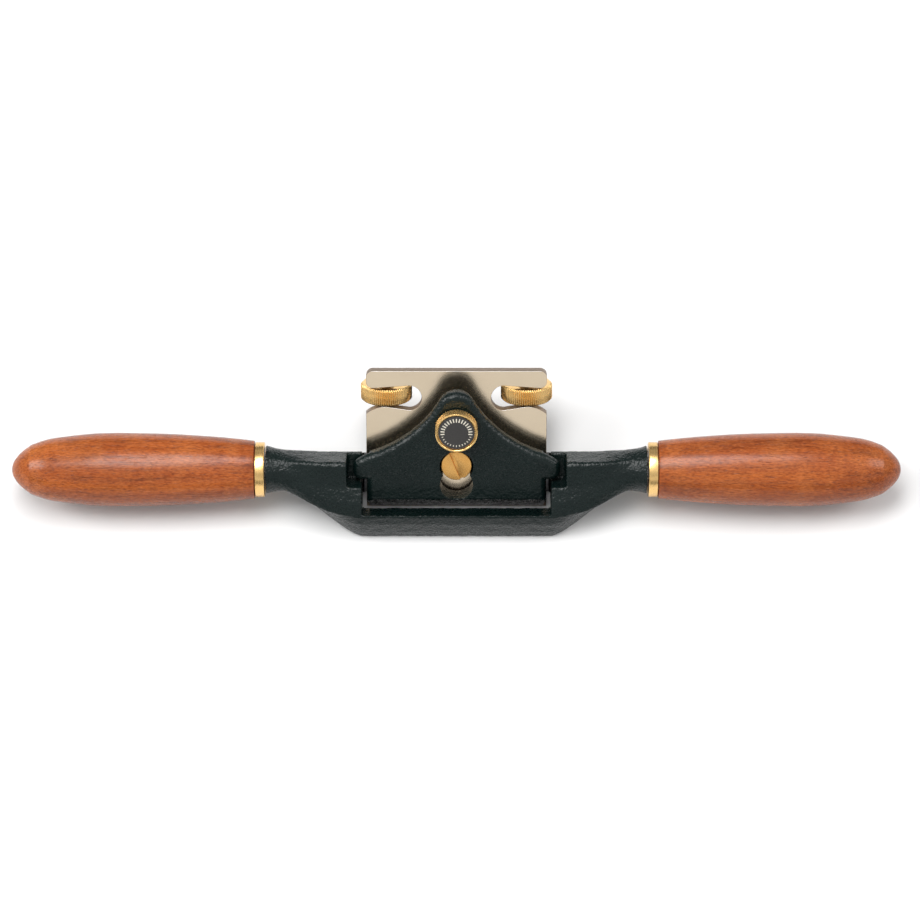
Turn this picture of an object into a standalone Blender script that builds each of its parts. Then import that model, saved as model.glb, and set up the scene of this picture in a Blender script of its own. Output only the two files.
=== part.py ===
"""A metal spokeshave: cast body, bed at 45 degrees, blade, lever cap, brass adjusters and two wooden handles.

Lengths are in millimetres until a mesh is stored, which is in metres. +X runs along the handles, +Y points away
from the user's side of the toe, and +Z is up, with the sole on Z = 0. Three frames are used:

- side view (f, z): f is forward, towards the toe, and z is up, both from the cutting edge
- blade frame (x, u, n): u runs up the blade from its edge, n stands out of its face
- cap frame (x, a, h): a runs up the lever cap from its nose, h stands out of its face
"""

import math

import bmesh
import bpy
from mathutils import Matrix, Vector

MM = 0.001
GAP = 0.3

# Driving dimensions
BED_ANGLE = math.radians(45.0)
CAP_TILT = math.radians(7.0)
EDGE_HEIGHT = 0.25

# Body
TOE_FRONT = 9.4
TOE_FOOT = Vector((9.2, 0.0))
TOE_BULGE = Vector((TOE_FRONT, 4.0))
TOE_LEAN = Vector((8.9, 8.5))
TOE_TOP = Vector((7.9, 11.3))
CHEEK_SWELL = Vector((4.6, 14.2))
CHEEK_STEP = Vector((0.5, 16.5))
TOP_FRONT = Vector((-5.2, 21.9))
TOP_REAR = Vector((-12.3, 14.8))
HEEL_TOP = Vector((-16.2, 4.5))
HEEL_REAR = -17.8
BLOCK_HALF = 28.8
SWEEP_END = 50.5
TOP_HOLD = 38.0
NECK_END = 56.9
NECK_RADIUS = 7.25
WAIST_RADIUS = 6.1
WAIST_X = 50.0
HANDLE_AXIS = Vector((-6.8, 13.75))
BED_N = -3.5
CHANNEL_HALF = 28.3
MOUTH_REAR = -5.5
MOUTH_FRONT = 1.6
THROAT_LOW = 4.3
THROAT_TOP = Vector((7.3, 11.3))
EAR_NOTCH_HALF = 32.7
EAR_NOTCH_U = 11.2
EAR_NOTCH_N = 3.1
FROG_HALF = 25.0
FROG_TOP = 26.0
FROG_START = 12.2
FROG_BACK = -11.0
TONGUE_HALF = 9.2
TONGUE_TOP = 38.0

# Blade
BLADE_HALF = 27.0
BLADE_LENGTH = 43.9
BLADE_THICK = 3.175
BEVEL_ANGLE = math.radians(30.0)
BLADE_CORNER = 2.0
SLOT_U = 35.4
SLOT_RADIUS = 3.9
SLOT_X = 14.25
LIP_X = 21.0
LIP_U = 32.6
LIP_RADIUS = 9.0
TAB_U = 38.5
TAB_CORNER = 2.1
CAP_SLOT = (9.8, 21.0)
CAP_SLOT_HALF = 3.9

# Lever cap
NOSE_U = 1.8
NOSE_N = 0.35
CAP_FACE = 6.3
CAP_SKIRT = 1.2
CAP_SKIN = 3.5
CAP_HALF = 26.8
NOSE_FACE = 4.6
EAR_X = 31.0
EAR_LOW = 10.8
EAR_HIGH = 16.6
SHOULDER = Vector((26.6, 19.1))
FLANK_RADIUS = 37.0
LOBE_CENTRE = 33.9
LOBE_RADIUS = 6.0
CAP_CHAMFER = 1.2
CAP_WALL = 2.2
KEY_HOLE = 9.5
KEY_SEAT = 15.7
KEY_RADIUS = 5.0
KEY_FLOOR = 2.5
KEY_SLOT_HALF = 2.8

# Cap screw
SCREW_U = 16.9
SCREW_HEAD_RADIUS = 4.6
SCREW_FACE = 8.4
SCREW_HEAD_THICK = 3.0
SCREW_SHANK_RADIUS = 2.4
SCREW_END = -9.5
SCREW_SLOT_WIDTH = 1.2
SCREW_SLOT_DEPTH = 1.3
SCREW_SLOT_TURN = math.radians(-68.0)

# Thumbscrew
KNOB_A = 29.2
KNOB_RADIUS = 6.35
KNOB_BASE = 7.0
KNOB_FACE = 10.5
KNOB_CHAMFER = 0.45
BADGE_RADIUS = 5.4
BADGE_DEPTH = 0.75
BADGE_THICK = 0.3
STEM_RADIUS = 2.4
STEM_TOP = 8.8

# Adjusters
NUT_X = 21.0
NUT_U = 35.4
NUT_N = -6.8
NUT_RADIUS = 7.7
NUT_THICK = 5.0
NUT_CHAMFER = 0.5
STUD_RADIUS = 2.4
STUD_START = 10.0
STUD_END = 41.5

# Handles
FERRULE_START = 57.3
FERRULE_END = 60.1
FERRULE_RADIUS = 8.2
TENON_RADIUS = 6.6
HANDLE_SHAPE = [
    (60.4, 8.3),
    (61.0, 8.7),
    (66.7, 9.35),
    (74.0, 10.0),
    (85.0, 10.65),
    (97.0, 10.95),
    (106.0, 10.9),
    (113.5, 10.3),
    (120.6, 9.4),
    (124.2, 8.5),
    (127.2, 7.4),
]
HANDLE_TIP = 133.0
HANDLE_STUD_RADIUS = 3.0
HANDLE_STUD = (43.0, 98.0)

ROUND_STEPS = 40

# The nuts reach furthest back, and the box is centred on Y = 0
NUT_REAR = math.sin(BED_ANGLE) * (NUT_RADIUS - NUT_CHAMFER - NUT_N) + math.cos(BED_ANGLE) * (NUT_U + NUT_THICK / 2)
EDGE_Y = (TOE_FRONT - NUT_REAR) / 2

ALONG_U = Matrix.Rotation(math.radians(-90.0), 4, "X")
BLADE_FRAME = Matrix.Translation((0, EDGE_Y, EDGE_HEIGHT)) @ Matrix.Rotation(BED_ANGLE, 4, "X")
CAP_FRAME = BLADE_FRAME @ Matrix.Translation((0, NOSE_U, NOSE_N)) @ Matrix.Rotation(CAP_TILT, 4, "X")


# Outlines

def arc(centre, radius, start, end, steps):
    """Points round a centre, between two angles in radians."""
    turns = [start + (end - start) * step / steps for step in range(steps + 1)]
    return [centre + radius * Vector((math.cos(turn), math.sin(turn))) for turn in turns]


def fillet(before, corner, after, radius, steps=3):
    """The points of a round of this radius in place of a corner."""
    back = (before - corner).normalized()
    on = (after - corner).normalized()
    half = back.angle(on) / 2
    centre = corner + (back + on).normalized() * radius / math.sin(half)
    reach = radius / math.tan(half)
    first = (corner + back * reach - centre).normalized()
    last = (corner + on * reach - centre).normalized()
    return [centre + radius * first.slerp(last, step / steps) for step in range(steps + 1)]


def rounded(corners, steps=3):
    """A closed outline with a round at each (corner, radius)."""
    points = [Vector(corner) for corner, _ in corners]
    outline = []
    for index, (_, radius) in enumerate(corners):
        after = points[(index + 1) % len(points)]
        outline += fillet(points[index - 1], points[index], after, radius, steps)
    return outline


def mirrored(half):
    """A closed outline from its right half, which runs from the bottom to the top."""
    return half + [Vector((-point.x, point.y)) for point in reversed(half) if point.x > 1e-6]


def inset(outline, distance):
    """An anticlockwise outline moved inwards by a distance."""
    moved = []
    for index, point in enumerate(outline):
        back = (point - outline[index - 1]).normalized()
        on = (outline[(index + 1) % len(outline)] - point).normalized()
        inward = Vector((-back.y - on.y, back.x + on.x)).normalized()
        moved.append(point + inward * distance / max(inward.dot(Vector((-back.y, back.x))), 0.5))
    return moved


def circle(radius, centre=(0.0, 0.0), steps=ROUND_STEPS):
    return arc(Vector(centre), radius, 0.0, 2 * math.pi, steps)[:-1]


# Meshes

def skin(rings, hollow=False):
    """A closed mesh through rings of equally many points. A ring of one point is a tip."""
    mesh = bmesh.new()
    rows = [[mesh.verts.new(point) for point in ring] for ring in rings]
    pairs = list(zip(rows, rows[1:]))
    if hollow:
        pairs.append((rows[-1], rows[0]))
    for low, high in pairs:
        for index in range(max(len(low), len(high))):
            around = [low[index % len(low)], low[(index + 1) % len(low)]]
            around += [high[(index + 1) % len(high)], high[index % len(high)]]
            mesh.faces.new(list(dict.fromkeys(around)))
    if not hollow:
        for row in (rows[0], rows[-1]):
            if len(row) > 1:
                mesh.faces.new(row)
    bmesh.ops.recalc_face_normals(mesh, faces=mesh.faces)
    return mesh


def prism(outline, low, high):
    """An outline in local X and Y, raised along local Z."""
    return skin([[Vector((p.x, p.y, level)) for p in outline] for level in (low, high)])


def bar(outline, half):
    """An outline in local Y and Z, drawn along X to both sides."""
    return skin([[Vector((x, p[0], p[1])) for p in outline] for x in (-half, half)])


def turned(profile, hollow=False):
    """A shape turned about local Z from (radius, height) points. A hollow one is a closed loop of them."""
    rings = []
    for radius, height in profile:
        points = circle(radius) if radius else [Vector((0.0, 0.0))]
        rings.append([Vector((p.x, p.y, height)) for p in points])
    return skin(rings, hollow)


def store(name, mesh, frame):
    if mesh.calc_volume(signed=True) < 0:
        bmesh.ops.reverse_faces(mesh, faces=mesh.faces)
    bmesh.ops.scale(mesh, vec=(MM, MM, MM), verts=mesh.verts)
    data = bpy.data.meshes.new(name)
    mesh.to_mesh(data)
    mesh.free()
    obj = bpy.data.objects.new(name, data)
    bpy.context.scene.collection.objects.link(obj)
    place = frame.copy()
    place.translation *= MM
    obj.matrix_world = place
    return obj


def piece(name, mesh, material, frame=Matrix.Identity(4)):
    obj = store(name, mesh, frame)
    obj.data.materials.append(material)
    obj.data.shade_smooth()
    obj.data.set_sharp_from_angle(angle=math.radians(30))
    return obj


def boolean(obj, operation, mesh, frame=Matrix.Identity(4)):
    """Cuts a helper shape from an object, or joins it on."""
    helper = store(f"{obj.name}_helper", mesh, frame)
    helper.hide_render = True
    helper.display_type = "WIRE"
    step = obj.modifiers.new(operation.lower(), "BOOLEAN")
    step.operation = operation
    step.solver = "EXACT"
    step.object = helper


def cut(obj, mesh, frame=Matrix.Identity(4)):
    boolean(obj, "DIFFERENCE", mesh, frame)


def join(obj, mesh, frame=Matrix.Identity(4)):
    boolean(obj, "UNION", mesh, frame)


def material(name, color, roughness, metallic):
    made = bpy.data.materials.new(name)
    made.use_nodes = True
    shader = made.node_tree.nodes["Principled BSDF"]
    shader.inputs["Base Color"].default_value = (*color, 1.0)
    shader.inputs["Roughness"].default_value = roughness
    shader.inputs["Metallic"].default_value = metallic
    return made


# Body

# Each corner of the block's side view: its place, its round, and how long an arm keeps it
BLOCK_CORNERS = [
    (TOE_FOOT, 0.8, 0.0),
    (TOE_BULGE, 2.0, 0.0),
    (TOE_LEAN, 2.0, 0.2),
    (TOE_TOP, 0.5, 0.5),
    (CHEEK_SWELL, 4.0, 0.55),
    (CHEEK_STEP, 3.0, 0.6),
    (TOP_FRONT, 1.5, 1.0),
    (TOP_REAR, 1.5, 1.0),
    (HEEL_TOP, 2.0, 0.5),
    (Vector((HEEL_REAR, 0.0)), 0.8, 0.0),
]
BLOCK_CENTRE = Vector((-5.0, 10.0))
LONGEST_SIDE = 3.4
ARM_STATIONS = 11


def block_outline():
    """Side-view points of the block, each with how long an arm keeps it."""
    corners = []
    for index, (corner, radius, keep) in enumerate(BLOCK_CORNERS):
        before = BLOCK_CORNERS[index - 1][0]
        after = BLOCK_CORNERS[(index + 1) % len(BLOCK_CORNERS)][0]
        corners += [(point, keep) for point in fillet(before, corner, after, radius)]
    outline = []
    for index, (point, keep) in enumerate(corners):
        after, after_keep = corners[(index + 1) % len(corners)]
        pieces = math.ceil((after - point).length / LONGEST_SIDE)
        for step in range(pieces):
            share = step / pieces
            outline.append((point.lerp(after, share), keep + (after_keep - keep) * share))
    return outline


def ease(share):
    share = min(max(share, 0.0), 1.0)
    return share * share * (3 - 2 * share)


def neck_radius(x):
    flare = max(x - WAIST_X, 0.0) / (NECK_END - WAIST_X)
    return WAIST_RADIUS + (NECK_RADIUS - WAIST_RADIUS) * flare**2


def body_ring(x, outline):
    """The casting's section at x, between the block's and the neck's round one."""
    away = abs(x)
    sweep = min(max((away - BLOCK_HALF) / (SWEEP_END - BLOCK_HALF), 0.0), 1.0)
    low = 0.55 * sweep + 0.45 * ease(sweep)
    high = ease((away - TOP_HOLD) / (NECK_END - TOP_HOLD))
    ring = []
    for point, keep in outline:
        neck = HANDLE_AXIS + (point - BLOCK_CENTRE).normalized() * neck_radius(away)
        place = point.lerp(neck, (1 - keep) * low + keep * high)
        ring.append(Vector((x, EDGE_Y - place.x, place.y)))
    return ring


def bed_point(forward):
    """World Y and Z on the bed's plane at this distance forward."""
    up = BED_N / math.cos(BED_ANGLE) + EDGE_HEIGHT - forward * math.tan(BED_ANGLE)
    return EDGE_Y - forward, up


def side_point(point):
    return EDGE_Y - point[0], point[1]


def make_body(paint):
    outline = block_outline()
    reach = NECK_END - BLOCK_HALF
    arm = [BLOCK_HALF + reach * step / ARM_STATIONS for step in range(ARM_STATIONS + 1)]
    stations = [-x for x in reversed(arm)] + arm
    body = piece("body", skin([body_ring(x, outline) for x in stations]), paint)

    frog = rounded([
        ((-FROG_HALF, FROG_START), 1.0),
        ((FROG_HALF, FROG_START), 1.0),
        ((FROG_HALF, FROG_TOP), 3.0),
        ((TONGUE_HALF, FROG_TOP), 4.0),
        ((TONGUE_HALF, TONGUE_TOP), 2.5),
        ((-TONGUE_HALF, TONGUE_TOP), 2.5),
        ((-TONGUE_HALF, FROG_TOP), 4.0),
        ((-FROG_HALF, FROG_TOP), 3.0),
    ])
    join(body, prism(frog, FROG_BACK, BED_N + 1), BLADE_FRAME)

    above = 60.0
    channel = [
        side_point((MOUTH_REAR, -2.0)),
        side_point((MOUTH_FRONT, -2.0)),
        side_point((MOUTH_FRONT, THROAT_LOW)),
        side_point(THROAT_TOP),
        side_point((THROAT_TOP.x, above)),
        bed_point(-above),
        bed_point(MOUTH_REAR),
    ]
    cut(body, bar(channel, CHANNEL_HALF))
    for side in (-1, 1):
        low_x, high_x = sorted((side * (CHANNEL_HALF - 1), side * EAR_NOTCH_HALF))
        notch = rounded([
            ((low_x, EAR_NOTCH_U), 0.4),
            ((high_x, EAR_NOTCH_U), 0.4),
            ((high_x, above), 0.4),
            ((low_x, above), 0.4),
        ])
        cut(body, prism(notch, EAR_NOTCH_N, above), BLADE_FRAME)
        cut(body, prism(circle(STUD_RADIUS + GAP), STUD_START - NUT_U - GAP, 0.0), nut_frame(side))
        start, _ = HANDLE_STUD
        hole = prism(circle(HANDLE_STUD_RADIUS + GAP), start - GAP, NECK_END + 1)
        cut(body, hole, handle_frame(side))
    screw_hole = prism(circle(SCREW_SHANK_RADIUS + GAP), SCREW_END - GAP, 0.0)
    cut(body, screw_hole, SCREW_FRAME)


# Blade

def blade_half():
    """The right half of the blade's outline: a side slot opens at its edge, with a lip below and a tab above."""
    lip_centre = Vector((LIP_X, LIP_U - LIP_RADIUS))
    side_turn = math.acos((BLADE_HALF - LIP_X) / LIP_RADIUS)
    lip = arc(lip_centre, LIP_RADIUS, side_turn, math.radians(90.0), 5)
    slot_end = arc(Vector((SLOT_X, SLOT_U)), SLOT_RADIUS, math.radians(270.0), math.radians(90.0), 10)
    tab_low = fillet(Vector((LIP_X, TAB_U)), Vector((BLADE_HALF, TAB_U)), Vector((BLADE_HALF, SLOT_U + 9)), TAB_CORNER)
    corner = Vector((BLADE_HALF, BLADE_LENGTH))
    tab_high = fillet(Vector((BLADE_HALF, TAB_U)), corner, Vector((0.0, BLADE_LENGTH)), BLADE_CORNER)
    return [Vector((BLADE_HALF, 0.0))] + lip + slot_end + tab_low + tab_high


def make_blade(steel):
    blade = piece("blade", prism(mirrored(blade_half()), -BLADE_THICK, 0.0), steel, BLADE_FRAME)
    run = (BLADE_THICK + 1) / math.tan(BEVEL_ANGLE)
    bevel = [(-1.0, 1.0 * math.tan(BEVEL_ANGLE)), (-1.0, -BLADE_THICK - 1), (run, -BLADE_THICK - 1)]
    cut(blade, bar(bevel, BLADE_HALF + 1), BLADE_FRAME)
    low, high = CAP_SLOT
    ends = [
        ((-CAP_SLOT_HALF, low), CAP_SLOT_HALF * 0.98),
        ((CAP_SLOT_HALF, low), CAP_SLOT_HALF * 0.98),
        ((CAP_SLOT_HALF, high), CAP_SLOT_HALF * 0.98),
        ((-CAP_SLOT_HALF, high), CAP_SLOT_HALF * 0.98),
    ]
    cut(blade, prism(rounded(ends, 5), -BLADE_THICK - 1, 1.0), BLADE_FRAME)


# Lever cap

def flank():
    """The concave side of the bell and half of the round lobe above it, which meet along one tangent."""
    lobe = Vector((0.0, LOBE_CENTRE))
    across = lobe - SHOULDER
    apart = across.length
    far = FLANK_RADIUS + LOBE_RADIUS
    along = (FLANK_RADIUS**2 - far**2 + apart**2) / (2 * apart)
    off = math.sqrt(FLANK_RADIUS**2 - along**2)
    onward = across.normalized()
    centre = SHOULDER + onward * along + Vector((onward.y, -onward.x)) * off
    start = math.atan2(SHOULDER.y - centre.y, SHOULDER.x - centre.x)
    end = math.atan2(lobe.y - centre.y, lobe.x - centre.x)
    side = arc(centre, FLANK_RADIUS, start, end, 9)
    return side + arc(lobe, LOBE_RADIUS, end + math.pi, math.radians(90.0), 5)[1:]


def cap_outline(ears):
    nose = Vector((CAP_HALF, 0.0))
    half = [nose]
    if ears:
        inner = Vector((CAP_HALF, EAR_LOW))
        low = Vector((EAR_X, EAR_LOW))
        high = Vector((EAR_X, EAR_HIGH))
        half += [inner] + fillet(inner, low, high, 2.6) + fillet(low, high, SHOULDER, 3.6)
    return mirrored(half + flank())


def level(outline, height):
    return [Vector((point.x, point.y, height)) for point in outline]


def make_lever_cap(paint):
    face = cap_outline(ears=True)
    skirt = cap_outline(ears=False)
    shoulder_height = CAP_FACE - CAP_CHAMFER
    rings = [
        level(inset(face, 0.4), CAP_SKIN),
        level(face, CAP_SKIN + 0.4),
        level(face, shoulder_height),
        level(inset(face, CAP_CHAMFER), CAP_FACE),
    ]
    cap = piece("lever_cap", skin(rings), paint, CAP_FRAME)
    skirt_rings = [level(inset(skirt, 0.7), CAP_SKIRT), level(inset(skirt, 0.4), CAP_SKIN + 0.9)]
    join(cap, skin(skirt_rings), CAP_FRAME)
    hollow = prism(inset(skirt, 0.5 + CAP_WALL), CAP_SKIRT - 1, CAP_SKIN + 0.4)
    cut(cap, hollow, CAP_FRAME)

    foot = [(0.0, 0.0), (2.2, 0.0), (3.6, 1.6), (3.6, 4.4), (0.0, 4.4)]
    join(cap, bar(foot, CAP_HALF - 0.6), CAP_FRAME)
    boss = rounded([
        ((-7.2, KEY_HOLE - 7.2), 6.0),
        ((7.2, KEY_HOLE - 7.2), 6.0),
        ((7.2, KEY_SEAT + 7.2), 6.0),
        ((-7.2, KEY_SEAT + 7.2), 6.0),
    ])
    join(cap, prism(boss, 0.6, CAP_SKIN + 1.1), CAP_FRAME)
    join(cap, prism(circle(5.0, (0.0, KNOB_A)), 0.6, CAP_SKIN + 1.1), CAP_FRAME)

    top = CAP_FACE + 4
    wedge = [(-0.4, 0.9), (NOSE_FACE + 4, top), (-6.0, top), (-6.0, 0.9)]
    cut(cap, bar(wedge, EAR_X), CAP_FRAME)
    cut(cap, prism(circle(KEY_RADIUS, (0.0, KEY_HOLE)), -2.0, top), CAP_FRAME)
    cut(cap, prism(circle(KEY_RADIUS, (0.0, KEY_SEAT)), KEY_FLOOR, top), CAP_FRAME)
    seat_top = KEY_SEAT + KEY_SLOT_HALF
    keyway = rounded([
        ((-KEY_SLOT_HALF, KEY_HOLE), 0.5),
        ((KEY_SLOT_HALF, KEY_HOLE), 0.5),
        ((KEY_SLOT_HALF, seat_top), KEY_SLOT_HALF * 0.98),
        ((-KEY_SLOT_HALF, seat_top), KEY_SLOT_HALF * 0.98),
    ])
    cut(cap, prism(keyway, -2.0, KEY_FLOOR + 1), CAP_FRAME)
    cut(cap, prism(circle(STEM_RADIUS + GAP, (0.0, KNOB_A)), -2.0, top), CAP_FRAME)


# Screws and nuts

SCREW_FRAME = BLADE_FRAME @ Matrix.Translation((0, SCREW_U, 0))
KNOB_FRAME = CAP_FRAME @ Matrix.Translation((0, KNOB_A, 0))


def nut_frame(side):
    return BLADE_FRAME @ Matrix.Translation((side * NUT_X, NUT_U, NUT_N)) @ ALONG_U


def handle_frame(side):
    turn = Matrix.Rotation(math.radians(90.0 * side), 4, "Y")
    return Matrix.Translation((0, EDGE_Y - HANDLE_AXIS.x, HANDLE_AXIS.y)) @ turn


def make_cap_screw(brass):
    under = SCREW_FACE - SCREW_HEAD_THICK
    screw = piece("cap_screw", turned([
        (SCREW_SHANK_RADIUS - 0.5, SCREW_END),
        (SCREW_SHANK_RADIUS, SCREW_END + 0.5),
        (SCREW_SHANK_RADIUS, under),
        (SCREW_HEAD_RADIUS, under),
        (SCREW_HEAD_RADIUS, SCREW_FACE - 0.5),
        (SCREW_HEAD_RADIUS - 0.5, SCREW_FACE),
    ]), brass, SCREW_FRAME)
    floor = SCREW_FACE - SCREW_SLOT_DEPTH
    slot = [(-SCREW_SLOT_WIDTH / 2, floor), (SCREW_SLOT_WIDTH / 2, floor)]
    slot += [(SCREW_SLOT_WIDTH / 2, SCREW_FACE + 1), (-SCREW_SLOT_WIDTH / 2, SCREW_FACE + 1)]
    turn = Matrix.Rotation(SCREW_SLOT_TURN, 4, "Z")
    cut(screw, bar(slot, SCREW_HEAD_RADIUS + 1), SCREW_FRAME @ turn)


def make_thumbscrew(brass, black):
    contact = -(NOSE_N + KNOB_A * math.sin(CAP_TILT)) / math.cos(CAP_TILT)
    tip = contact + GAP + STEM_RADIUS * math.tan(CAP_TILT)
    piece("thumbscrew_stem", turned([
        (STEM_RADIUS - 0.6, tip),
        (STEM_RADIUS, tip + 0.6),
        (STEM_RADIUS, STEM_TOP),
    ]), brass, KNOB_FRAME)
    recess = KNOB_FACE - BADGE_DEPTH
    socket = STEM_TOP + GAP
    piece("thumbscrew_knob", turned([
        (0.0, socket),
        (STEM_RADIUS + GAP, socket),
        (STEM_RADIUS + GAP, KNOB_BASE),
        (KNOB_RADIUS - KNOB_CHAMFER, KNOB_BASE),
        (KNOB_RADIUS, KNOB_BASE + KNOB_CHAMFER),
        (KNOB_RADIUS, KNOB_FACE - KNOB_CHAMFER),
        (KNOB_RADIUS - KNOB_CHAMFER, KNOB_FACE),
        (BADGE_RADIUS + GAP, KNOB_FACE),
        (BADGE_RADIUS + GAP, recess),
        (0.0, recess),
    ]), brass, KNOB_FRAME)
    seat = recess + GAP
    badge = [(0.0, seat), (BADGE_RADIUS, seat), (BADGE_RADIUS, seat + BADGE_THICK), (0.0, seat + BADGE_THICK)]
    piece("knob_badge", turned(badge), black, KNOB_FRAME)


def make_adjusters(brass, steel):
    half = NUT_THICK / 2
    nut = [
        (STUD_RADIUS + GAP, -half),
        (NUT_RADIUS - NUT_CHAMFER, -half),
        (NUT_RADIUS, -half + NUT_CHAMFER),
        (NUT_RADIUS, half - NUT_CHAMFER),
        (NUT_RADIUS - NUT_CHAMFER, half),
        (STUD_RADIUS + GAP, half),
    ]
    stud = [
        (STUD_RADIUS, STUD_START - NUT_U),
        (STUD_RADIUS, STUD_END - NUT_U - 0.5),
        (STUD_RADIUS - 0.5, STUD_END - NUT_U),
    ]
    for side, name in ((-1, "left"), (1, "right")):
        piece(f"adjuster_nut_{name}", turned(nut, hollow=True), brass, nut_frame(side))
        piece(f"adjuster_stud_{name}", turned(stud), steel, nut_frame(side))


# Handles

def make_handles(wood, brass, steel):
    shoulder, shoulder_radius = HANDLE_SHAPE[0]
    bore = HANDLE_STUD_RADIUS + GAP
    start, end = HANDLE_STUD
    last_x, last_radius = HANDLE_SHAPE[-1]
    nose = HANDLE_TIP - last_x
    round_end = [(last_radius * math.sqrt(1 - share), last_x + nose * share) for share in (0.4, 0.7, 0.87, 0.97)]
    profile = [(0.0, end + GAP), (bore, end + GAP), (bore, FERRULE_START), (TENON_RADIUS, FERRULE_START)]
    profile += [(TENON_RADIUS, shoulder)]
    profile += [(radius, x) for x, radius in HANDLE_SHAPE] + round_end + [(0.0, HANDLE_TIP)]
    ferrule = [
        (TENON_RADIUS + GAP, FERRULE_START),
        (FERRULE_RADIUS - 0.3, FERRULE_START),
        (FERRULE_RADIUS, FERRULE_START + 0.3),
        (FERRULE_RADIUS, FERRULE_END),
        (TENON_RADIUS + GAP, FERRULE_END),
    ]
    for side, name in ((-1, "left"), (1, "right")):
        piece(f"handle_{name}", turned(profile), wood, handle_frame(side))
        piece(f"ferrule_{name}", turned(ferrule, hollow=True), brass, handle_frame(side))
        rod = prism(circle(HANDLE_STUD_RADIUS), start, end)
        piece(f"handle_stud_{name}", rod, steel, handle_frame(side))


for old in list(bpy.data.objects):
    bpy.data.objects.remove(old)

paint = material("black_paint", (0.018, 0.022, 0.021), 0.42, 0.0)
steel = material("satin_steel", (0.66, 0.58, 0.47), 0.35, 1.0)
stud_steel = material("stud_steel", (0.45, 0.45, 0.46), 0.4, 1.0)
brass = material("brass", (0.78, 0.55, 0.22), 0.25, 1.0)
badge_black = material("badge_black", (0.03, 0.03, 0.028), 0.4, 0.0)
wood = material("bubinga", (0.42, 0.13, 0.05), 0.4, 0.0)

make_body(paint)
make_blade(steel)
make_lever_cap(paint)
make_cap_screw(brass)
make_thumbscrew(brass, badge_black)
make_adjusters(brass, stud_steel)
make_handles(wood, brass, stud_steel)
bpy.context.view_layer.update()
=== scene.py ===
"""Looks for the spokeshave: cast body, blade, lever cap, brass screws and nuts, and two wooden handles.

Shapes are made in millimetres, in the same frames as the CAD model, and stored in metres in the row frame:

- side view (f, z): f is forward, towards the toe, and z is up, both from the cutting edge
- blade frame (x, u, n): u runs up the blade from its edge, n stands out of its face
- cap frame (x, a, h): a runs up the lever cap from its nose, h stands out of its face
"""

import math

import bmesh
import bpy
import numpy as np
from mathutils import Matrix, Vector, noise


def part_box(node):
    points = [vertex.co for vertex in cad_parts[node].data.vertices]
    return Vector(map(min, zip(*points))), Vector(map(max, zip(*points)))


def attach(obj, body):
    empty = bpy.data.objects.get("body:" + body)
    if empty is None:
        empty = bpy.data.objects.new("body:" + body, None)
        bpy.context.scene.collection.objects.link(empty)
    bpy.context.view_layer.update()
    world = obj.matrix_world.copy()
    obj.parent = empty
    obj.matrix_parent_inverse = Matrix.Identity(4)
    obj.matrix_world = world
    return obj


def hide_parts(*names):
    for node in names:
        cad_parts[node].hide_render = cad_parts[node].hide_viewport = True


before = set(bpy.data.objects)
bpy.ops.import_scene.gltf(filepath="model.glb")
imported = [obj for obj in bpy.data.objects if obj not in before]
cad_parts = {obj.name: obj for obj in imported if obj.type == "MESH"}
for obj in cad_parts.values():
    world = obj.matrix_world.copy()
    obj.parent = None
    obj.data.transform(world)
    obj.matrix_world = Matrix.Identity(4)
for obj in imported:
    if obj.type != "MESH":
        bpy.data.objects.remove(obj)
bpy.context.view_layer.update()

MM = 0.001

# The blade's lowest, front-most line is its cutting edge
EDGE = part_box("blade")[0] / MM
EDGE_Y = EDGE.y
EDGE_HEIGHT = EDGE.z
BED_ANGLE = math.radians(45.0)
CAP_TILT = math.radians(7.0)

# Body
BLOCK_CORNERS = [
    (Vector((9.2, 0.0)), 0.8, 0.0),
    (Vector((9.4, 4.0)), 2.0, 0.0),
    (Vector((8.9, 8.5)), 2.0, 0.2),
    (Vector((7.9, 11.3)), 0.5, 0.5),
    (Vector((4.6, 14.2)), 4.0, 0.55),
    (Vector((0.5, 16.5)), 3.0, 0.6),
    (Vector((-5.2, 21.9)), 1.3, 1.0),
    (Vector((-12.3, 14.8)), 1.5, 1.0),
    (Vector((-16.2, 4.5)), 2.0, 0.5),
    (Vector((-17.8, 0.0)), 0.8, 0.0),
]
BLOCK_CENTRE = Vector((-5.0, 10.0))
BLOCK_HALF = 28.8
SWEEP_END = 50.5
TOP_HOLD = 38.0
NECK_END = 56.9
NECK_RADIUS = 7.25
WAIST_RADIUS = 6.1
WAIST_X = 50.0
HANDLE_AXIS = Vector((-6.8, 13.75))
BED_N = -3.5
CHANNEL_HALF = 28.3
MOUTH_REAR = -5.5
MOUTH_FRONT = 1.6
THROAT_LOW = 4.3
THROAT_TOP = Vector((7.3, 11.3))
EAR_NOTCH_HALF = 32.7
EAR_NOTCH_U = 11.2
EAR_NOTCH_N = 3.1
FROG_HALF = 25.0
FROG_TOP = 26.0
FROG_START = 12.2
FROG_BACK = -11.0
TONGUE_HALF = 9.2
TONGUE_TOP = 38.0
ABOVE = 60.0
BODY_VOXEL = 0.33
BODY_LUMPS = [(2.6, 0.10), (1.3, 0.06)]

# Blade
BLADE_HALF = 27.0
BLADE_LENGTH = 43.9
BLADE_THICK = 3.175
BEVEL_ANGLE = math.radians(30.0)
HONE_ANGLE = math.radians(17.0)
HONE_U = 1.9
BLADE_CORNER = 2.0
SLOT_U = 35.4
SLOT_RADIUS = 3.9
SLOT_X = 14.25
LIP_X = 21.0
LIP_U = 32.6
LIP_RADIUS = 9.0
TAB_U = 38.5
TAB_CORNER = 2.1
CAP_SLOT = (9.8, 21.0)
CAP_SLOT_HALF = 3.9

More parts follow.
